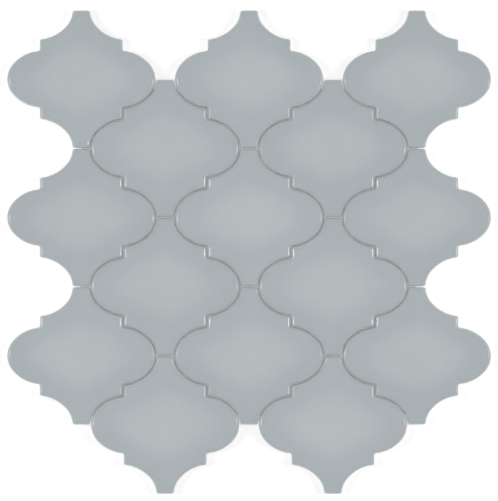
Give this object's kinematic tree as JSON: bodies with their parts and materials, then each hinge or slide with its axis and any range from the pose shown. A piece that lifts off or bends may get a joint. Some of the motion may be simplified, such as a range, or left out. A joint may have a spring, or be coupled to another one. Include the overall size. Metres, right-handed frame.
{
  "type": "arabesque tile sheet",
  "caption": "Sheet of glazed ceramic lantern-shaped wall tiles on a backing mesh, with stepped edges that interlock with the next sheet.",
  "frame": {"origin": "under the middle of the sheet, at the underside of the backing mesh", "axes": "+X along a row of tiles, from nose to nose; +Y along a column, from tip to tip, towards the top row of the picture; +Z out of the glazed faces"},
  "size_m": [0.2592, 0.259, 0.0064],
  "materials": {
    "glazed_tile": "grey gloss glaze",
    "backing_mesh": "white glass-fibre mesh"
  },
  "bodies": {
    "root": {"tile_row1_left": "glazed_tile", "tile_row1_middle": "glazed_tile", "tile_row1_right": "glazed_tile", "tile_row2_left": "glazed_tile", "tile_row2_right": "glazed_tile", "tile_row3_left": "glazed_tile", "tile_row3_middle": "glazed_tile", "tile_row3_right": "glazed_tile", "tile_row4_left": "glazed_tile", "tile_row4_right": "glazed_tile", "tile_row5_left": "glazed_tile", "tile_row5_middle": "glazed_tile", "tile_row5_right": "glazed_tile", "tile_row6_left": "glazed_tile", "tile_row6_right": "glazed_tile", "backing_mesh": "backing_mesh"}
  },
  "joints": []
}
